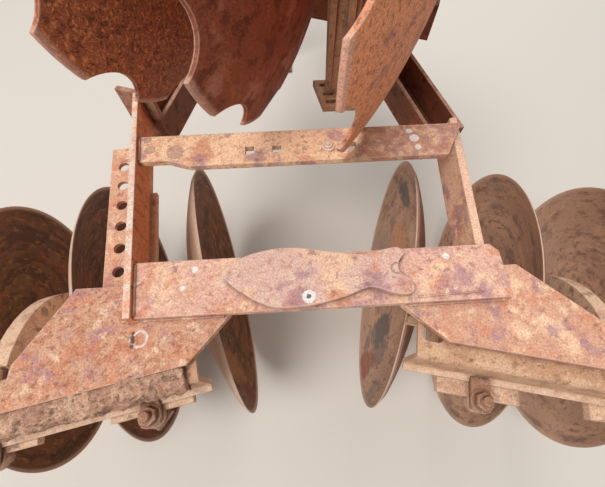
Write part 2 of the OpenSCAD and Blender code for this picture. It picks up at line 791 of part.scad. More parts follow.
rear_crossbar();
fish_plate();
front_crossbar();
left_web();
hole_strip();
right_tube();
left_gusset();
right_gusset();
left_arm();
right_arm();
front_gang_beam();
tongue();
clevis();
stand_sleeve();
stand_leg();
stand_foot();
left_gang_beam();
right_gang_beam();
left_hanger_1();
left_hanger_2();
right_hanger_1();
right_hanger_2();
left_bearing_1();
left_bearing_2();
right_bearing_1();
right_bearing_2();
left_discs();
right_discs();
front_discs();
left_axle();
right_axle();
front_axle();
left_spools();
right_spools();
front_spools();
front_hanger_1();
front_hanger_2();
front_bearing_1();
front_bearing_2();
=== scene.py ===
# %% [markdown]
# A disc harrow that is half taken apart. Its solids come from the packed model. This file
# adds what a maker calls the finish: rust, soil, bolts and welds. Everything is in metres
# and in the model's own frame, whose origin is the towing bore.

# %% The frame
import json
import math

import bpy
from mathutils import Euler, Matrix, Vector


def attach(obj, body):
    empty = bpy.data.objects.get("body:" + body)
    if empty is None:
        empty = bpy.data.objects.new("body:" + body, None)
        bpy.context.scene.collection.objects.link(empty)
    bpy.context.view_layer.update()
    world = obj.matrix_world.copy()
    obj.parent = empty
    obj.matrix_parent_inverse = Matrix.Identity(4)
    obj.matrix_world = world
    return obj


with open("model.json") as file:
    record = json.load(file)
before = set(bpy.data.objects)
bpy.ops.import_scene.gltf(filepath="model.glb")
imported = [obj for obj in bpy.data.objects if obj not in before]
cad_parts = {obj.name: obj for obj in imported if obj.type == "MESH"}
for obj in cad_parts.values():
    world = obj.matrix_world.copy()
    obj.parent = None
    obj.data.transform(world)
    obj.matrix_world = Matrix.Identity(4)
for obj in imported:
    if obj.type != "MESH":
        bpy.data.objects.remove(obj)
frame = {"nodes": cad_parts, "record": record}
NODES = frame["nodes"]
SLOT_OF = {part["node"]: part["material_slot"] for part in frame["record"]["subparts"]}
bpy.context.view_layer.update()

# %% [markdown]
# Places on the harrow are easiest to read in millimetres, from the ground up and from the
# rear discs forward. The model's origin is the towing bore, far in front and 670 mm up, so
# one helper turns such measures into the model's frame.

# %% Places on the harrow
MM = 0.001
X, Y, Z = 0, 1, 2
BORE = (0, 1520, 670)  # the towing bore, from the ground between the rear discs


def spot(x, y, z):
    """A place in the frame, from millimetres right, ahead and up from the ground between the rear discs."""
    return Vector((x - BORE[X], y - BORE[Y], z - BORE[Z])) * MM


GROUND = spot(0, 0, 0).z
print("ground at", round(GROUND, 3))

# %% [markdown]
# Each gang of discs has its own line, which runs along the axle. It starts at the rim of one
# end disc and leads away from the hollow side of the discs. Bearings, bolts and the streaks
# on the discs are all placed from it, so nothing has to be measured twice.

# %% Lines of the gangs
AXLE_HEIGHT, LAID_HEIGHT = 330, 1030
REAR_PITCH, FRONT_PITCH = 235, 190


class Gang:
    """The line of a gang. It sweeps back by turn degrees, to the right where side is 1, else left."""

    def __init__(self, start, turn, side):
        angle = math.radians(turn)
        self.start = start
        self.turn = -side * angle
        self.along = Vector((side * math.cos(angle), -math.sin(angle), 0))
        self.ahead = Vector((side * math.sin(angle), math.cos(angle), 0))

    def at(self, along, ahead, up):
        """A place in millimetres along the axle, ahead of it and above it."""
        return self.start + (self.along * along + self.ahead * ahead + Vector((0, 0, up))) * MM


GANGS = {"left": Gang(spot(-211, 4, AXLE_HEIGHT), 11, -1),
         "right": Gang(spot(211, -4, AXLE_HEIGHT), 13.4, 1),
         "front": Gang(spot(139, 293, LAID_HEIGHT), 20.6, 1)}
print("gangs", {name: round(math.degrees(gang.turn), 1) for name, gang in GANGS.items()})

# %% [markdown]
# The camera stands behind the harrow, about chest high, and looks steeply down. Its place,
# turn and lens were worked out from the round rims and the straight bars in the picture.

# %% Camera
FRAME_WIDTH_PX = 605
FOCAL_PX = 340
SENSOR = 36
LOOK_DOWN = math.radians(65.4)
TURN_RIGHT = math.radians(3.4)

camera = bpy.data.objects.new("camera", bpy.data.cameras.new("camera"))
bpy.context.scene.collection.objects.link(camera)
camera.data.sensor_fit = "HORIZONTAL"
camera.data.sensor_width = SENSOR
camera.data.lens = FOCAL_PX * SENSOR / FRAME_WIDTH_PX
camera.data.clip_start = 0.01
camera.location = spot(-28.2, -296.5, 1247)
camera.rotation_euler = Euler((math.pi / 2 - LOOK_DOWN, 0, -TURN_RIGHT))
bpy.context.scene.camera = camera
print("camera lens", round(camera.data.lens, 2))

# %% [markdown]
# Shader maths reads best as plain arithmetic. A small class holds one socket, and sums,
# differences and products of sockets build the Math nodes. Colours are written as they look
# on a screen and turned into the linear ones that shaders use.


# %% Sockets that can be written as sums
class Wire:
    """One output socket in a finish."""

    def __init__(self, finish, socket):
        self.finish = finish
        self.socket = socket

    def math(self, operation, first, second):
        return self.finish.add("Math", {"operation": operation}, {0: first, 1: second})

    def __add__(self, other):
        return self.math("ADD", self, other)

    def __sub__(self, other):
        return self.math("SUBTRACT", self, other)

    def __rsub__(self, other):
        return self.math("SUBTRACT", other, self)

    def __mul__(self, other):
        return self.math("MULTIPLY", self, other)

    def __abs__(self):
        return self.math("ABSOLUTE", self, 0.0)

    __radd__ = __add__
    __rmul__ = __mul__


def colour(red, green, blue):
    """A screen colour from 0 to 255, as the linear colour that shaders use."""
    return tuple((v / 255 / 12.92 if v <= 10 else ((v / 255 + 0.055) / 1.055) ** 2.4)
                 for v in (red, green, blue)) + (1.0,)


print("rust orange is", [round(v, 3) for v in colour(176, 96, 60)])

# %% [markdown]
# A finish is a tree of shader nodes. One method makes every node that isn't plain maths, from
# its type, its settings and its inputs. The patterns read Object coordinates, so they stay on
# a piece when it moves, and their sizes are given in millimetres. On a disc, noise can also
# be drawn out into arcs around the axle.

# %% Nodes of a finish
AROUND = "around the axle"


class Nodes:
    """A node material under construction."""

    def __init__(self, name):
        self.material = bpy.data.materials.new(name)
        self.material.use_nodes = True
        self.tree = self.material.node_tree
        self.tree.nodes.clear()
        self.place = self.add("TexCoord", out=3)

    def add(self, kind, settings=(), inputs=(), out=0):
        """A node with its settings and inputs. What comes back is one of its outputs."""
        node = self.tree.nodes.new("ShaderNode" + kind)
        for key, value in dict(settings).items():
            setattr(node, key, value)
        for key, value in dict(inputs).items():
            if isinstance(value, Wire):
                self.tree.links.new(value.socket, node.inputs[key])
            else:
                node.inputs[key].default_value = value
        return Wire(self, node.outputs[out]) if len(node.outputs) else None

    def between(self, value, low, high, to_low=0.0, to_high=1.0):
        """value from low to high, stretched smoothly over to_low to to_high."""
        return self.add("MapRange", {"interpolation_type": "SMOOTHSTEP"},
                        {"Value": value, "From Min": low, "From Max": high,
                         "To Min": to_low, "To Max": to_high})

    def vector(self, operation, first, second=(0, 0, 0), out=0):
        return self.add("VectorMath", {"operation": operation}, {0: first, 1: second}, out)

    def scaled(self, vector, factor):
        return self.add("VectorMath", {"operation": "SCALE"}, {0: vector, "Scale": factor})

    def noise(self, size, stretch=(1, 1, 1), shift=0.0, detail=4.0, rough=0.6, warp=0.3):
        """Cloudy noise whose patches are about size millimetres across."""
        where = self.place
        if stretch == AROUND:
            where, stretch = self.swirl, (1, 1, 1)
        where = self.add("Mapping", {}, {"Vector": where, "Scale": stretch,
                                         "Location": (shift, shift * 2, -shift)})
        return self.add("TexNoise", {}, {"Vector": where, "Scale": 1 / (size * MM), "Detail": detail,
                                         "Roughness": rough, "Distortion": warp})

    def mix(self, amount, under, over):
        return self.add("Mix", {"data_type": "RGBA"}, {0: amount, 6: under, 7: over}, out=2)

    def shade(self, base, factor):
        """The base colour, made darker or lighter by a number."""
        grey = self.add("CombineColor", {}, {0: factor, 1: factor, 2: factor})
        return self.add("Mix", {"data_type": "RGBA", "blend_type": "MULTIPLY"},
                        {0: 1.0, 6: base, 7: grey}, out=2)


print("node methods", [name for name in vars(Nodes) if not name.startswith("_")])

# %% [markdown]
# Rust and paint lie on steel in layers, and the finish is built up the same way. A coat is
# cloudy patches all over. A patch is one soft worn place, a mark is a drop or a ring, and a
# band sets in along an axis, such as the pale, rubbed top of a plate. All are masks that mix
# one more tone over what is already there.

# %% Layers of a finish
COAT_EDGE = 0.12
WOBBLE = 5
MARK_EDGE = 1.2


class Layers(Nodes):
    """The layers that can be laid over a base tone."""

    def coats(self, base, coats):
        """Lays patches all over. A coat is tone, size in mm, where it sets in, amount, stretch."""
        for i, (tone, size, start, amount, stretch) in enumerate(coats):
            cloud = self.noise(size, stretch, shift=1.7 * (i + 1))
            mask = self.between(cloud, start, start + COAT_EDGE, 0.0, amount)
            base = self.mix(mask, base, colour(*tone))
        return base

    def patches(self, base, patches):
        """Soft worn patches with broken edges: centre, radius in mm, tone, amount."""
        for i, (centre, radius, tone, amount) in enumerate(patches):
            # The noise is centred on 0, so it moves the edge out and in by a part of the radius.
            broken = self.noise(16, AROUND, shift=0.9 * i, warp=0.8) * 2.4 - 1.2
            reach = self.vector("DISTANCE", self.place, centre, 1) - broken * (radius * MM * 0.6)
            mask = self.between(reach, radius * MM * 0.7, radius * MM * 1.15, amount, 0.0)
            base = self.mix(mask, base, colour(*tone))
        return base

    def marks(self, base, marks):
        """Drops and rings: centre, radius in mm, width of the line or 0 for a drop, tone, amount."""
        wobble = self.noise(9, shift=5.0, detail=2.0) * (WOBBLE * MM)
        for centre, radius, width, tone, amount in marks:
            reach = self.vector("DISTANCE", self.place, centre, 1) + wobble - WOBBLE / 2 * MM
            if width:
                reach, radius = abs(reach - radius * MM), width / 2
            mask = self.between(reach, radius * MM, (radius + MARK_EDGE) * MM, amount, 0.0)
            base = self.mix(mask, base, colour(*tone))
        return base

    def bands(self, base, bands):
        """Tones that set in along an axis: axis, from and to in the measures of spot(), tone, amount."""
        axes = [self.add("SeparateXYZ", {}, {0: self.place}, out) for out in (X, Y, Z)]
        for axis, start, end, tone, amount in bands:
            low, high = [(v - BORE[axis]) * MM for v in sorted((start, end))]
            ramp = self.between(axes[axis], low, high)
            if start > end:
                ramp = 1.0 - ramp
            broken = self.between(self.noise(16, shift=3.0), 0.36, 0.58, amount * 0.35, amount)
            base = self.mix(ramp * broken, base, colour(*tone))
        return base


print("layers", [name for name in vars(Layers) if not name.startswith("_")])

# %% [markdown]
# Under every layer the steel itself has a grain of a few millimetres and pits of a centimetre,
# which also raise the bump. Edges are painted pale, partly as rubbed wear and partly as a
# painted highlight where they catch the light, and the Bevel node finds them, because its
# rounded normal leaves the true one only there. Nooks are darkened as painted shade, and
# ambient occlusion finds those. Both work on any shape, so no edge or corner has to be
# painted by hand.

# %% Steel and its shader
GRAIN_SIZE = 2.6
LUMP_SIZE = 11
NOOK_DEPTH = 12


class Finish(Layers):
    """A whole finish, whose last step is the steel."""

    def steel(self, base, grain, pit, rough, edge, edge_width, bump):
        """Grain, pits, edges of wear and painted highlight, painted shade in nooks, and the shader."""
        fine = self.noise(GRAIN_SIZE, shift=2.0, detail=2.0)
        lumps = self.noise(LUMP_SIZE, shift=4.0)
        base = self.shade(base, self.between(fine, 0.28, 0.72, 1 - grain, 1 + grain * 0.7))
        base = self.shade(base, self.between(lumps, 0.62, 0.76, 1.0, 1 - pit))
        soft = self.add("Bevel", {"samples": 4}, {"Radius": edge_width * MM})
        meet = self.vector("DOT_PRODUCT", soft, self.add("NewGeometry", out=1), 1)
        # Edges take a pale tone that is partly rubbed wear and partly a painted highlight.
        wear_and_highlight = self.between(meet, 0.90, 0.995, 1.0, 0.0) * self.between(lumps, 0.35, 0.55, 0.45, 0.9)
        base = self.mix(wear_and_highlight, base, colour(*edge))
        # Nooks are darkened here as painted shade.
        painted_shade_ao = self.add("AmbientOcclusion", {"samples": 4}, {"Distance": NOOK_DEPTH * MM}, out=1)
        base = self.shade(base, self.between(painted_shade_ao, 0.40, 0.92, 0.45, 1.0))
        normal = self.add("Bump", {}, {"Strength": 0.9, "Distance": bump * MM,
                                       "Height": fine * 0.45 + lumps * 0.55, "Normal": soft})
        surface = self.add("BsdfPrincipled", {}, {
            "Base Color": base, "Normal": normal,
            "Roughness": self.between(lumps, 0.3, 0.7, rough - 0.08, rough + 0.08)})
        self.add("OutputMaterial", {}, {"Surface": surface})
        return self.material


print("grain", GRAIN_SIZE, "mm, lumps", LUMP_SIZE, "mm")

# %% [markdown]
# Faded paint on old plate is never one colour. Each finish starts from one tone and gets
# coats from broad to fine: cream where the paint has chalked, orange and purple-grey where
# rust has come through, and dark specks. A picture could be wrapped round the plates instead,
# but noise has no seams and never repeats.


# %% Coats of faded plate
def plate(name, base, coats, marks=(), bands=(), grain=0.26, pit=0.25, rough=0.82,
          edge=(240, 208, 184), edge_width=2.5, bump=1.1):
    """The finish of a plate, bar or casting: its base tone, then coats, bands and marks."""
    finish = Finish(name)
    tone = finish.coats(colour(*base), coats)
    tone = finish.bands(tone, bands)
    tone = finish.marks(tone, marks)
    return finish.steel(tone, grain, pit, rough, edge, edge_width, bump)


EVEN = (1, 1, 1)
UPRIGHT = (1, 1, 0.25)
LENGTHWISE = (1, 0.3, 1)
PALE_COATS = [((252, 208, 170), 60, 0.50, 0.75, EVEN),  # chalked cream
              ((216, 138, 100), 40, 0.52, 0.65, EVEN),  # orange
              ((178, 132, 140), 50, 0.52, 0.70, EVEN),  # purple-grey
              ((250, 216, 180), 22, 0.56, 0.65, EVEN),  # small pale clouds
              ((204, 140, 112), 10, 0.52, 0.45, EVEN),  # brick
              ((150, 98, 92), 14, 0.57, 0.60, EVEN),  # dark stains
              ((110, 72, 62), 3.4, 0.61, 0.50, EVEN)]  # specks
WHITE = (246, 240, 236)
DARK = (92, 66, 62)
FINISH = {}
print("coats on pale plate", len(PALE_COATS))

# %% [markdown]
# The two cross bars and the plate on the rear one lie flat in the light and are the palest
# steel here. White drops of paint have fallen on them, and one has a dark middle. The front
# bar has round stains at its left end and goes darker towards its right end.

# %% Cross bars
BAR_TOP = 760
FISH_TOP = 772
DROP = spot(-11, -163, FISH_TOP)
FINISH["rear_crossbar"] = plate(
    "rear_bar_rust", (234, 184, 162), PALE_COATS,
    marks=[(spot(-181, -108, BAR_TOP), 4, 0, WHITE, 0.9), (spot(-197, -136, BAR_TOP), 3, 0, WHITE, 0.8),
           (spot(-139, -130, BAR_TOP), 8, 0, (240, 214, 196), 0.6),
           (spot(206, -108, BAR_TOP), 5, 0, WHITE, 0.9)])
# The fish plate's pale, wide edge is partly wear and partly a painted highlight.
FINISH["fish_plate"] = plate(
    "fish_rust", (230, 188, 172), PALE_COATS, edge=(248, 216, 196), edge_width=3.5,
    marks=[(DROP, 9, 0, WHITE, 0.95), (DROP, 3, 0, DARK, 0.9),
           (spot(123, -128, FISH_TOP), 8, 2, (150, 112, 104), 0.7)])
DROPS = [(spot(202, 127, BAR_TOP), 8, 0, WHITE, 0.9), (spot(205, 106, BAR_TOP), 5, 0, WHITE, 0.8),
         (spot(196, 144, BAR_TOP), 5, 0, WHITE, 0.8)]
STAINS = [(spot(x, y, BAR_TOP), radius, 0, (150, 106, 104), 0.5)
          for x, y, radius in ((-278, 127, 9), (-233, 120, 15), (-286, 151, 7))]
FINISH["front_crossbar"] = plate("front_bar_rust", (255, 208, 168), PALE_COATS, marks=DROPS + STAINS,
                                 bands=[(X, 50, 150, (176, 122, 108), 0.75)])
print("cross bars", list(FINISH))

# %% [markdown]
# The left gusset is pitted, with a white ring on it and a dark stroke of dots beside the
# ring. The right one, the strip and the tube share the pale coats, and the tube's top edge
# is painted pale as a highlight.

# %% Gussets, strip and tube
GUSSET_TOP = 748
RING = spot(-257, -205, GUSSET_TOP)
STROKE = [spot(-266, y, GUSSET_TOP) for y in (-214, -208, -202, -196)]
PITTED_COATS = [((186, 116, 82), 16, 0.50, 0.6, EVEN), ((120, 76, 62), 7, 0.55, 0.6, EVEN),
                ((90, 58, 48), 3, 0.60, 0.7, EVEN), ((240, 196, 168), 3.5, 0.58, 0.5, EVEN)]
FINISH["left_gusset"] = plate(
    "left_gusset_rust", (216, 162, 132), PALE_COATS[1:4] + PITTED_COATS, pit=0.5,
    marks=[(RING, 11, 2.5, WHITE, 0.6)] + [(dot, 2.5, 0, DARK, 0.9) for dot in STROKE])
FINISH["right_gusset"] = plate("right_gusset_rust", (220, 166, 138), PALE_COATS)
FINISH["hole_strip"] = plate("strip_rust", (222, 172, 140), PALE_COATS)
HIGHLIGHT_AND_WEAR = (236, 196, 166)
FINISH["right_tube"] = plate(
    "tube_rust", (248, 200, 168), [((120, 80, 64), 14, 0.58, 0.5, EVEN)] + PALE_COATS[:5],
    # The pale band along the tube's top is a painted highlight, and its edges take the same tone.
    bands=[(Z, 743, 747.5, HIGHLIGHT_AND_WEAR, 0.9)], edge=HIGHLIGHT_AND_WEAR)
print("pale plates", len(FINISH))

# %% [markdown]
# The left web stands on edge. Water runs down it, so its brown coats are drawn upright over
# bright orange rust. Its top edge is painted almost white as a highlight, and its foot is dusty.

# %% Left web
WEB_COATS = [((250, 156, 104), 50, 0.46, 0.8, LENGTHWISE), ((170, 98, 60), 24, 0.52, 0.8, UPRIGHT),
             ((120, 66, 42), 8, 0.57, 0.6, UPRIGHT), ((252, 190, 138), 12, 0.58, 0.5, EVEN)]
FINISH["left_web"] = plate(
    "web_rust", (236, 140, 86), WEB_COATS, edge=(240, 216, 196), edge_width=2.0,
    # The first band, almost white along the top edge, is a painted highlight.
    bands=[(Z, 767.5, 769.5, (244, 220, 202), 0.95), (Z, 712, 700, (232, 190, 156), 0.9)])
print("coats on the web", len(WEB_COATS))

# %% [markdown]
# The drawbar, the stand and the loose beam lie lower and rust darker, red-brown with orange
# along their length. The beams of the rear gangs carry dried soil instead, and are palest
# near their lower edge.

# %% Drawbar, stand and gang beams
DARK_COATS = [((190, 104, 64), 44, 0.50, 0.70, LENGTHWISE), ((70, 40, 30), 30, 0.55, 0.70, EVEN),
              ((142, 104, 80), 18, 0.56, 0.45, EVEN), ((196, 122, 84), 6, 0.60, 0.45, EVEN)]
# A pale band along the arms' top edge is a painted highlight.
ARM_TOP_HIGHLIGHT = (Z, 706.5, 707.8, (196, 152, 126), 0.8)
for node in ("left_arm", "right_arm"):
    FINISH[node] = plate(node + "_rust", (140, 90, 66), DARK_COATS, bands=[ARM_TOP_HIGHLIGHT],
                         edge=(196, 150, 122))
for node in ("front_gang_beam", "tongue", "clevis", "stand_sleeve", "stand_leg", "stand_foot"):
    FINISH[node] = plate(node + "_rust", (150, 92, 66), DARK_COATS, edge=(206, 156, 124))
BEAM_COATS = [((226, 184, 148), 50, 0.48, 0.7, EVEN), ((150, 112, 86), 22, 0.54, 0.6, EVEN),
              ((132, 88, 66), 8, 0.56, 0.6, EVEN), ((236, 204, 176), 12, 0.58, 0.6, EVEN)]
for node in ("left_gang_beam", "right_gang_beam"):
    FINISH[node] = plate(node + "_soil", (206, 158, 124), BEAM_COATS, grain=0.22, bump=1.6,
                         bands=[(Z, 670, 664, (240, 206, 178), 0.7)])
print("plate finishes", len(FINISH))

# %% [markdown]
# Castings rust evenly and keep a sandy skin. Those of the rear gangs carry pale dust, and
# those of the laid gang are browner. The axles are plain bar, dark with a little orange.

# %% Castings and axles
CAST_COATS = [((196, 152, 126), 40, 0.50, 0.7, EVEN), ((112, 84, 68), 22, 0.54, 0.6, EVEN),
              ((228, 190, 160), 9, 0.58, 0.55, EVEN), ((92, 62, 50), 4, 0.60, 0.5, EVEN)]
for node, slot in SLOT_OF.items():
    if slot == "casting":
        laid = node.startswith("front")
        FINISH[node] = plate(node + "_cast", (186, 142, 106) if laid else (234, 194, 162), CAST_COATS,
                             edge=(200, 160, 130) if laid else (236, 196, 168), edge_width=4.0, bump=1.4)
    if slot == "axle_steel":
        FINISH[node] = plate(node + "_steel", (104, 68, 50), DARK_COATS, edge=(168, 120, 92))
print("with castings and axles", len(FINISH))

# %% [markdown]
# A disc has two faces. Soil scours the hollow one, and dust settles on the other, and the two
# tones also hold painted light and shade: on each rear gang the face that looks left, towards
# the light, is painted paler, and the face that looks right darker. The normal against the
# axle's line tells them apart, and because it is read in the disc's own space, the faces keep
# their colours when the gang turns. Soil slides past a turning disc in circles, so streaks
# follow the rim, and the ground rim stays pale. For the streaks, noise reads a point that
# keeps its direction from the axle but lies on a small circle, and whose distance from the
# axle is counted along the axle, so that each patch becomes a long arc.

# %% Finish of a disc
SWEEP = 60
RIM_FROM, RIM_TO = 319, 327


def disc_finish(name, gang, hollow, outer, edge, patches=(), zones=(), grain=0.18, rough=0.66):
    """Each face is a base tone and its coats. A patch is placed along, ahead and up in mm. A zone
    gives the hollow and the outer face another tone and coats, from some way along the axle."""
    disc = Finish(name)
    from_start = disc.vector("SUBTRACT", disc.place, gang.start)
    along = disc.vector("DOT_PRODUCT", from_start, gang.along, 1)
    across = disc.vector("SUBTRACT", from_start, disc.vector("PROJECT", from_start, gang.along))
    reach = disc.vector("LENGTH", across, out=1)
    circle = disc.scaled(disc.vector("NORMALIZE", across), SWEEP * MM)
    disc.swirl = disc.vector("ADD", circle, disc.scaled(gang.along, reach + along * 0.5))
    inside = disc.coats(colour(*hollow[0]), hollow[1])
    inside = disc.patches(inside, [(gang.at(*place), radius, tone, amount)
                                   for place, radius, tone, amount in patches])
    outside = disc.coats(colour(*outer[0]), outer[1])
    # Hollow and outer faces get their own tones, which on the rear gangs are partly painted light and
    # shade.
    facing = disc.vector("DOT_PRODUCT", disc.add("TexCoord", out=1), gang.along, 1)
    tone = disc.mix(disc.between(facing, -0.05, 0.05), inside, outside)
    for start, base, coats in zones:
        sets_in = disc.between(along, start * MM, (start + 1) * MM)
        tone = disc.mix(sets_in, tone, disc.coats(colour(*base), coats))
    at_rim = disc.between(reach, RIM_FROM * MM, RIM_TO * MM, 0.0, 0.55)
    return disc.steel(disc.mix(at_rim, tone, colour(*edge)), grain, 0.25, rough, edge, 3.0, 0.8)


print("pale rim from", RIM_FROM, "mm")

# %% [markdown]
# The left gang's hollow faces, which look right, are dark brown with orange streaks, partly as
# painted shade, and their outer faces, which look left, are painted pale, partly as painted
# light. The right gang's hollows look left and are paler, partly as painted light, with grey
# steel showing in patches where the rust has come off, and their outer faces are painted
# darker, partly as painted shade. Their patches are placed on the inner disc, which shows best.

# %% Discs of the rear gangs
FINISH["left_discs"] = disc_finish(
    "left_disc_steel", GANGS["left"],
    ((126, 80, 44), [((84, 52, 30), 22, 0.46, 0.8, AROUND), ((160, 78, 42), 40, 0.54, 0.6, AROUND),
                     ((178, 116, 64), 9, 0.54, 0.7, AROUND), ((150, 108, 78), 50, 0.58, 0.4, EVEN),
                     ((56, 34, 22), 5, 0.56, 0.7, AROUND)]),
    ((222, 184, 158), [((190, 150, 124), 60, 0.46, 0.6, AROUND), ((160, 112, 84), 26, 0.54, 0.5, AROUND),
                       ((234, 198, 172), 10, 0.56, 0.5, AROUND), ((134, 96, 74), 5, 0.58, 0.5, AROUND)]),
    (236, 202, 180),
    patches=[((41, -205, -100), 70, (186, 122, 70), 0.55), ((20, -270, -103), 45, (120, 46, 28), 0.6),
             ((30, 240, 60), 60, (150, 80, 54), 0.4)])
FINISH["right_discs"] = disc_finish(
    "right_disc_steel", GANGS["right"],
    ((206, 164, 136), [((230, 184, 150), 60, 0.50, 0.7, AROUND), ((142, 118, 108), 26, 0.52, 0.7, AROUND),
                       ((150, 92, 68), 12, 0.56, 0.7, AROUND), ((228, 190, 160), 8, 0.57, 0.6, AROUND),
                       ((96, 76, 68), 5, 0.57, 0.6, AROUND)]),
    ((150, 104, 84), [((104, 68, 54), 30, 0.52, 0.6, EVEN), ((184, 140, 112), 20, 0.56, 0.5, EVEN)]),
    (236, 200, 176),
    # The first patch, mauve-grey on the hollow's left, is partly dust and partly painted shade and
    # reflection of the dish.
    patches=[((20, 200, -200), 80, (178, 148, 132), 0.6), ((33, 240, 80), 48, (104, 100, 102), 0.8),
             ((58, 165, -60), 62, (232, 158, 112), 0.6), ((60, 110, 60), 50, (240, 196, 158), 0.6),
             ((48, -100, -190), 62, (112, 106, 102), 0.85), ((30, -170, -150), 50, (124, 118, 114), 0.6),
             ((12, -215, -225), 60, (160, 84, 62), 0.7), ((11, -299, -77), 42, (172, 146, 138), 0.7),
             ((66, -75, -60), 32, (238, 186, 146), 0.7), ((60, -130, 0), 36, (226, 140, 92), 0.6)])
print("rear discs done, gangs pitched", REAR_PITCH, "mm")

# %% [markdown]
# The three notched discs have stood long in the open and each looks different. From left to
# right, the first is coarse and flecked with orange, the second is smooth dark red-brown, and
# the third is bright orange. One finish serves all three, because each zone sets in halfway
# between two discs.

# %% Discs of the laid gang
COARSE = [((232, 144, 86), 5, 0.51, 0.90, (1, 1, 0.6)), ((66, 34, 26), 14, 0.52, 0.6, EVEN),
          ((246, 184, 134), 3.2, 0.58, 0.7, EVEN), ((44, 24, 20), 4, 0.54, 0.8, EVEN)]
SMOOTH = [((200, 140, 114), 80, 0.54, 0.7, EVEN), ((190, 110, 64), 24, 0.58, 0.6, UPRIGHT),
          ((84, 40, 30), 30, 0.50, 0.6, EVEN), ((176, 100, 70), 4, 0.54, 0.5, EVEN),
          ((74, 36, 28), 3, 0.56, 0.6, EVEN)]
ORANGE = [((244, 160, 110), 30, 0.50, 0.7, EVEN), ((176, 118, 104), 40, 0.52, 0.7, EVEN),
          ((246, 158, 104), 7, 0.53, 0.6, EVEN), ((146, 80, 56), 8, 0.53, 0.7, EVEN),
          ((120, 66, 48), 3.4, 0.56, 0.7, EVEN), ((250, 194, 158), 4, 0.58, 0.6, EVEN)]
FLECKED = ((176, 98, 62), COARSE)
FINISH["front_discs"] = disc_finish(
    "front_disc_rust", GANGS["front"], FLECKED, FLECKED, (240, 196, 176), grain=0.28, rough=0.74,
    zones=[(-1.5 * FRONT_PITCH, (156, 86, 58), SMOOTH), (-0.5 * FRONT_PITCH, (236, 154, 110), ORANGE)])
for node, piece in NODES.items():
    piece.data.materials.clear()
    piece.data.materials.append(FINISH[node])
print("finishes for", len(FINISH), "of", len(NODES), "solids")

# %% [markdown]
# Small parts such as nuts and washers are turned or pressed. Each starts as one flat disc,
# which is extruded upwards ring by ring and resized at each ring, as on a lathe. Spinning an
# outline would do the same, but the rings are easier to read off a drawing.


# %% Turning a piece
def fresh():
    """Leaves edit mode and lets go of everything."""
    if bpy.context.object and bpy.context.object.mode != "OBJECT":
        bpy.ops.object.mode_set(mode="OBJECT")
    bpy.ops.object.select_all(action="DESELECT")


def turned(name, sides, rings):
    """A piece drawn upwards from its lowest ring. Each ring is radius and height in mm."""
    fresh()
    radius, height = rings[0]
    bpy.ops.mesh.primitive_circle_add(vertices=sides, radius=radius * MM, fill_type="NGON",
                                      location=(0, 0, height * MM))
    piece = bpy.context.object
    piece.name = name
    bpy.ops.object.transform_apply(location=True, rotation=False, scale=False)
    bpy.ops.object.mode_set(mode="EDIT")
    bpy.ops.mesh.select_all(action="SELECT")
    for wide, high in rings[1:]:
        bpy.ops.mesh.extrude_region_move(TRANSFORM_OT_translate={"value": (0, 0, (high - height) * MM)})
        bpy.ops.transform.resize(value=(wide / radius, wide / radius, 1), center_override=(0, 0, high * MM))
        radius, height = wide, high
    bpy.ops.mesh.select_all(action="SELECT")
    bpy.ops.mesh.normals_make_consistent(inside=False)
    bpy.ops.object.mode_set(mode="OBJECT")
    return piece


print("pieces are turned about Z, from the lowest ring up")

# %% [markdown]
# What repeats is made once, and each copy gets its own mesh with its place in it, because a
# finished piece stands at the origin, unturned. Small pieces of one kind on one body are
# joined. A finished piece rides on a body, so that it moves with it.


# %% Copying, joining and fitting
def joined(pieces, name):
    """Several pieces as one object."""
    fresh()
    for piece in pieces:
        piece.select_set(True)
    bpy.context.view_layer.objects.active = pieces[0]
    if len(pieces) > 1:
        bpy.ops.object.join()
    pieces[0].name = name
    return pieces[0]


def copies(pattern, places):
    """Copies of one piece, each with its own mesh moved to its place."""
    made = []
    for place in places:
        piece = bpy.data.objects.new(pattern.name, pattern.data.copy())
        bpy.context.scene.collection.objects.link(piece)
        piece.data.transform(place)
        made.append(piece)
    return made


def fitted(piece, body, finish, smooth=40):
    """Gives a finished piece its material and its body."""
    fresh()
    piece.select_set(True)
    bpy.context.view_layer.objects.active = piece
    bpy.ops.object.shade_smooth_by_angle(angle=math.radians(smooth))
    piece.data.materials.clear()
    piece.data.materials.append(finish)
    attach(piece, body)
    print(piece.name, "on", body, "faces", len(piece.data.polygons))


# %% [markdown]
# A nut is known by its size across the flats, and its washer, its height and its bolt follow
# from that, as they do in the trade. The bolt's thread is crests and roots in turn. A true
# helix would show no better at this size and has far more faces.

# %% Patterns for nuts and bolts
THREAD_PITCH = 1.6
THREAD_ROOT = 0.88  # of the crest's radius
WASHER_THICK = 2.5
NUT_HEIGHT = 0.48  # of the nut's size
BOLT_RADIUS = 0.3  # of the nut's size


def thread(radius, low, high):
    """Rings of a threaded end: crest and root in turn."""
    turns = int((high - low) / THREAD_PITCH)
    return [(radius if i % 2 else radius * THREAD_ROOT, low + i * THREAD_PITCH) for i in range(turns + 1)]


def nut_and_bolt(name, across, sides=6, washer=1.45, end=10):
    """A washer, a nut and the bolt's threaded end, which stands end mm above the nut."""
    corner = across / 2 / math.cos(math.pi / sides)
    rim = across / 2 * washer
    shank = across * BOLT_RADIUS
    low, top = WASHER_THICK, WASHER_THICK + across * NUT_HEIGHT
    flat = turned(name + "_washer", 24, [(rim, -1), (rim, low - 0.5), (rim - 0.6, low)])
    nut = turned(name + "_nut", sides, [(corner * 0.96, low), (corner, low + 1),
                                        (corner, top - 1.5), (corner * 0.86, top)])
    bolt = turned(name + "_bolt", 12, [(shank, low)] + thread(shank, top, top + end))
    return joined([flat, nut, bolt], name)


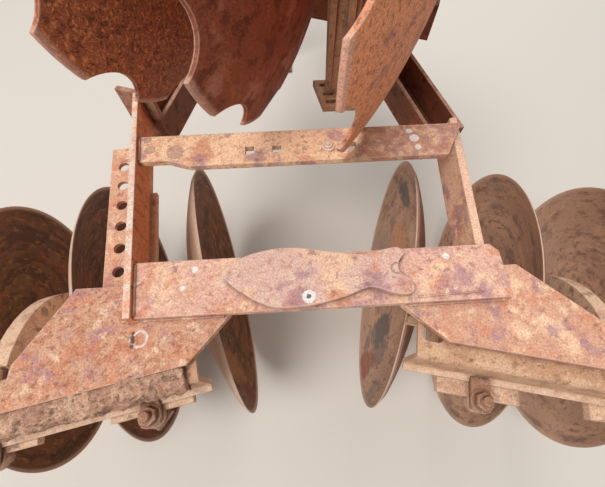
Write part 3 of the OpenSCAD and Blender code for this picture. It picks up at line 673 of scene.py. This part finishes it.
HEX_NUT = nut_and_bolt("hex_nut", 24)
SMALL_NUT = nut_and_bolt("small_nut", 18, end=6)
SQUARE_NUT = nut_and_bolt("square_nut", 32, sides=4, washer=1.2, end=5)
print("patterns", [len(pattern.data.polygons) for pattern in (HEX_NUT, SMALL_NUT, SQUARE_NUT)])

# %% [markdown]
# The bearings are split castings. Four bolts hold the halves of each, through the ears
# ahead of and behind the axle. A nut sits on each end, so each place gets one copy upright
# and one upside down.

# %% Bolts of the bearings
FLIP = Matrix.Rotation(math.pi, 4, "X")
EAR_AHEAD = 66  # bolts ahead of the axle, and as far behind it
EAR_HALF = 10  # half the height of the two ears together
BOLT_ALONG = 17  # bolts to either side of the bearing's middle
FIRST_BEARING = 131.5  # its middle, along the gang's line
BEARINGS = [("left", "root", FIRST_BEARING), ("left", "root", FIRST_BEARING + REAR_PITCH),
            ("right", "root", FIRST_BEARING), ("right", "root", FIRST_BEARING + REAR_PITCH),
            ("front", "front_hanger_1_body", FIRST_BEARING - FRONT_PITCH),
            ("front", "front_hanger_2_body", FIRST_BEARING - 2 * FRONT_PITCH)]
BOLT_RUST = plate("bolt_rust", (168, 122, 96), CAST_COATS, edge=(226, 184, 156), edge_width=1.0, bump=0.3)
for number, (side, body, along) in enumerate(BEARINGS):
    gang = GANGS[side]
    face = Matrix.Rotation(gang.turn, 4, "Z")
    places = []
    for x in (-BOLT_ALONG, BOLT_ALONG):
        for y in (-EAR_AHEAD, EAR_AHEAD):
            places.append(Matrix.Translation(gang.at(along + x, y, EAR_HALF)) @ face)
            places.append(Matrix.Translation(gang.at(along + x, y, -EAR_HALF)) @ face @ FLIP)
    fitted(joined(copies(SMALL_NUT, places), "bearing_bolts_%d" % (number + 1)), body, BOLT_RUST)

# %% [markdown]
# Each rear hanger is held to its gang beam by two bolts through the rounded ears of its
# foot. At the rear ear a small clamp grips the beam's lip. The left inner hanger has big
# square nuts below, and the others have six-sided ones.

# %% Clamp on the beam's lip
HANGER_BACK = 236  # middle of the foot, behind the axle
EAR_REACH = 59  # from there to the bolt in either ear
FOOT_SHIFT = -23  # middle of the foot along the line, from the bearing's
FOOT_LOW, FOOT_HIGH = 311, 326  # above the axle
LIP_BACK = {"left": 282, "right": 268}  # behind the axle
CLAMP_WIDE, CLAMP_HIGH = 30, 12
CLAMP_PAST_EAR, CLAMP_PAST_LIP = 14, 8
CLAMP_ROUND = 2.5


def lip_clamp(gang, along, lip_back):
    """A small forged block that reaches from behind the ear to just ahead of the beam's lip."""
    fresh()
    front = lip_back - CLAMP_PAST_LIP
    long = HANGER_BACK + EAR_REACH + CLAMP_PAST_EAR - front
    bpy.ops.mesh.primitive_cube_add(size=1)
    block = bpy.context.object
    block.data.transform(Matrix.Diagonal((CLAMP_WIDE * MM, long * MM, CLAMP_HIGH * MM, 1)))
    bpy.ops.object.mode_set(mode="EDIT")
    bpy.ops.mesh.select_all(action="SELECT")
    bpy.ops.mesh.bevel(offset=CLAMP_ROUND * MM, segments=2)
    bpy.ops.object.mode_set(mode="OBJECT")
    place = gang.at(along, -(front + long / 2), FOOT_HIGH + CLAMP_HIGH / 2)
    block.data.transform(Matrix.Translation(place) @ Matrix.Rotation(gang.turn, 4, "Z"))
    return block


print("clamp", CLAMP_WIDE, "by", CLAMP_HIGH, "mm")

# %% [markdown]
# The two upper nuts sit on the foot and on the clamp, and the lower two hang under the foot.
# All four and the clamp are joined, hanger by hanger.

# %% Bolts of the hangers
for number, (side, body, along) in enumerate(BEARINGS[:4]):
    gang = GANGS[side]
    face = Matrix.Rotation(gang.turn, 4, "Z")
    foot = along + FOOT_SHIFT
    front_ear, rear_ear = -(HANGER_BACK - EAR_REACH), -(HANGER_BACK + EAR_REACH)
    upright = [Matrix.Translation(gang.at(foot, front_ear, FOOT_HIGH)) @ face,
               Matrix.Translation(gang.at(foot, rear_ear, FOOT_HIGH + CLAMP_HIGH)) @ face]
    hanging = [Matrix.Translation(gang.at(foot, y, FOOT_LOW)) @ face @ FLIP for y in (front_ear, rear_ear)]
    low_nut = SQUARE_NUT if number == 0 else HEX_NUT
    pieces = copies(HEX_NUT, upright) + copies(low_nut, hanging)
    pieces.append(lip_clamp(gang, foot, LIP_BACK[side]))
    fitted(joined(pieces, "hanger_bolts_%d" % (number + 1)), body, BOLT_RUST)

# %% [markdown]
# One bolt is left in the front bar. Its washer is rubbed bright. It is turned in one piece,
# from the washer's underside up to the bolt's chamfered end.

# %% The bolt in the front bar
BAR_BOLT = spot(43, 117, BAR_TOP)
BAR_BOLT_RINGS = [(12, -1), (12, 1.6), (11, 2.4), (7.5, 2.4), (7.5, 5.5), (6.5, 6.5), (3.5, 6.5),
                  (3.5, 8), (2.5, 8.5)]
BRIGHT = plate("washer_steel", (244, 208, 184), PALE_COATS[3:5], edge=(252, 236, 222), edge_width=1.0,
               bump=0.3)
bar_bolt = turned("front_bar_bolt", 32, BAR_BOLT_RINGS)
bar_bolt.data.transform(Matrix.Translation(BAR_BOLT))
fitted(bar_bolt, "root", BRIGHT)

# %% [markdown]
# A weld bead is a row of small overlapping ripples. It is drawn as a long turned piece whose
# radius swings with each ripple, and it is laid half into the corner that it fills.

# %% A weld bead
RIPPLE = 3.2
BEAD_SIDES = 8
DIP, TIP = 0.84, 0.35  # of the bead's radius
WELD_RUST = plate("weld_rust", (206, 154, 126), PALE_COATS[:5], edge=(236, 200, 176), edge_width=1.0,
                  bump=0.4)


def bead(start, end, radius):
    """A bead from start to end, radius in mm. Every second ring dips, and the ends close in."""
    run = end - start
    length = run.length / MM
    count = max(4, int(length / RIPPLE) * 2)
    rings = []
    for i in range(count + 1):
        share = TIP if i in (0, count) else 1.0 if i % 2 else DIP
        rings.append((radius * share, i * length / count))
    piece = turned("bead", BEAD_SIDES, rings)
    piece.data.transform(Matrix.Translation(start) @ run.to_track_quat("Z", "Y").to_matrix().to_4x4())
    return piece


print("a ripple every", RIPPLE, "mm")

# %% [markdown]
# Welds join the cross bars to the web, the gussets to the rear bar, and the tongue to the
# arms, the clevis and the stand's sleeve. One thin bead runs along the right end of the rear
# bar. Each is listed from end to end in millimetres, with its radius.

# %% Weld beads
WEB_AT, WEB_SLANT = -284, 0.1122  # 1 mm off the web's inner face, and its slant per mm ahead


def by_web(y):
    """Where the top of a bar meets the web, which is turned a little off the line of travel."""
    return (WEB_AT - WEB_SLANT * y, y, BAR_TOP)


GUSSET_EDGE = -178.5
TONGUE_HALF = 40
BEADS = {
    "rear_bar_weld": [(by_web(-176), by_web(-95), 3.5), ((150, -170, BAR_TOP), (250, -167, BAR_TOP), 1.8)],
    "front_bar_weld": [(by_web(104), by_web(155), 3.5)],
    "gusset_weld": [((start, GUSSET_EDGE, GUSSET_TOP), (end, GUSSET_EDGE, GUSSET_TOP), 3.0)
                    for start, end in ((-286, -135), (136, 286))],
    "tongue_weld": [((x, 1150, 708), (x, 1010, 708), 4.0) for x in (-TONGUE_HALF, TONGUE_HALF)]
    + [((-38, 1450, 710), (38, 1450, 710), 3.5)],
    "sleeve_weld": [((-TONGUE_HALF, y, 705), (-TONGUE_HALF, y, 640), 3.0) for y in (1296, 1384)],
}
for name, runs in BEADS.items():
    beads = [bead(spot(*start), spot(*end), radius) for start, end, radius in runs]
    fitted(joined(beads, name), "root", WELD_RUST, smooth=60)

# %% [markdown]
# Dried soil sits on the left gang beam, along the gusset's rear edge and over the beam's
# corner. Bump alone would leave its outline straight, so it is a mesh, and two slabs are the
# start of it. Its finish is duller and bumpier than any plate's.

# %% Slabs of soil
SOIL_COATS = [((222, 180, 150), 24, 0.48, 0.8, EVEN), ((120, 88, 72), 9, 0.52, 0.8, EVEN),
              ((206, 138, 116), 16, 0.55, 0.6, EVEN), ((96, 70, 60), 4, 0.58, 0.7, EVEN)]
SOIL = plate("dried_soil", (188, 144, 118), SOIL_COATS, grain=0.3, pit=0.5, rough=0.95,
             edge=(226, 190, 162), edge_width=2.0, bump=2.0)
SOIL_FROM, SOIL_TO = 30, 330  # along the gang's line
SLABS = ((258, 30, 410, 12), (274, 9, 392, 36))  # behind the axle, thick, above the axle, deep
left_gang = GANGS["left"]
slabs = []
for back, thick, middle_up, deep in SLABS:
    fresh()
    bpy.ops.mesh.primitive_cube_add(size=1)
    slab = bpy.context.object
    slab.data.transform(Matrix.Diagonal(((SOIL_TO - SOIL_FROM) * MM, thick * MM, deep * MM, 1)))
    middle = left_gang.at((SOIL_FROM + SOIL_TO) / 2, -back, middle_up)
    slab.data.transform(Matrix.Translation(middle) @ Matrix.Rotation(left_gang.turn, 4, "Z"))
    slabs.append(slab)
soil = joined(slabs, "soil_crust")
print("slabs in the crust", len(slabs))

# %% [markdown]
# The joined slabs are remeshed into small even faces, which also melts them into one, and
# then pushed in and out by two cloud textures, one for lumps and one for crumbs.

# %% Lumps and crumbs
FACE_SIZE = 2.8
CLOUDS = ((24, 12), (6, 6))  # size of the clouds, how far they push
remesh = soil.modifiers.new("even faces", "REMESH")
remesh.mode = "VOXEL"
remesh.voxel_size = FACE_SIZE * MM
bpy.ops.object.modifier_apply(modifier=remesh.name)
for cloud_size, strength in CLOUDS:
    clouds = bpy.data.textures.new("lumps", "CLOUDS")
    clouds.noise_scale = cloud_size * MM
    push = soil.modifiers.new("lumps", "DISPLACE")
    push.texture = clouds
    push.texture_coords = "LOCAL"
    push.strength = strength * MM
    push.mid_level = 0.55
    bpy.ops.object.modifier_apply(modifier=push.name)
fitted(soil, "root", SOIL, smooth=180)

# %% [markdown]
# The patterns for nuts have been copied wherever they are needed, so they go. What is left
# is the floor, which is plain and pale and takes the harrow's shadow.

# %% Floor
FLOOR_HALF = 30
for pattern in (HEX_NUT, SMALL_NUT, SQUARE_NUT):
    bpy.data.objects.remove(pattern)
floor_mesh = bpy.data.meshes.new("floor")
floor_mesh.from_pydata([(x, y, GROUND) for x, y in
                        ((-FLOOR_HALF, -FLOOR_HALF), (FLOOR_HALF, -FLOOR_HALF),
                         (FLOOR_HALF, FLOOR_HALF), (-FLOOR_HALF, FLOOR_HALF))], [], [(0, 1, 2, 3)])
floor = bpy.data.objects.new("floor", floor_mesh)
bpy.context.scene.collection.objects.link(floor)
pale = Nodes("pale_floor")
pale_surface = pale.add("BsdfPrincipled", {}, {"Base Color": colour(222, 214, 204), "Roughness": 0.9})
pale.add("OutputMaterial", {}, {"Surface": pale_surface})
floor_mesh.materials.append(pale.material)
print("floor", 2 * FLOOR_HALF, "m wide")

# %% [markdown]
# The main light is soft daylight from high on the left and a little behind, so that plates
# that lie flat are bright, and faces that look right or down go dark. A weaker lamp in front
# and a pale sky keep the shadows open.

# %% Light
SKY_LIGHT = 0.40
world = bpy.data.worlds.new("sky")
world.use_nodes = True
world.node_tree.nodes["Background"].inputs["Color"].default_value = colour(248, 246, 244)
world.node_tree.nodes["Background"].inputs["Strength"].default_value = SKY_LIGHT
bpy.context.scene.world = world


def lamp(name, place, aim, size, power):
    """A round area lamp, size metres across, that looks at aim."""
    data = bpy.data.lights.new(name, "AREA")
    data.shape = "DISK"
    data.size = size
    data.energy = power
    light = bpy.data.objects.new(name, data)
    bpy.context.scene.collection.objects.link(light)
    light.location = place
    light.rotation_euler = (aim - place).to_track_quat("-Z", "Y").to_euler()
    print(name, power, "W")


lamp("daylight", spot(-2600, -2000, 7400), spot(0, 100, 500), 4.0, 430)
lamp("front_fill", spot(1600, 4600, 3600), spot(0, 0, 500), 3.0, 90)
bpy.context.scene.view_settings.view_transform = "Standard"

# %% [markdown]
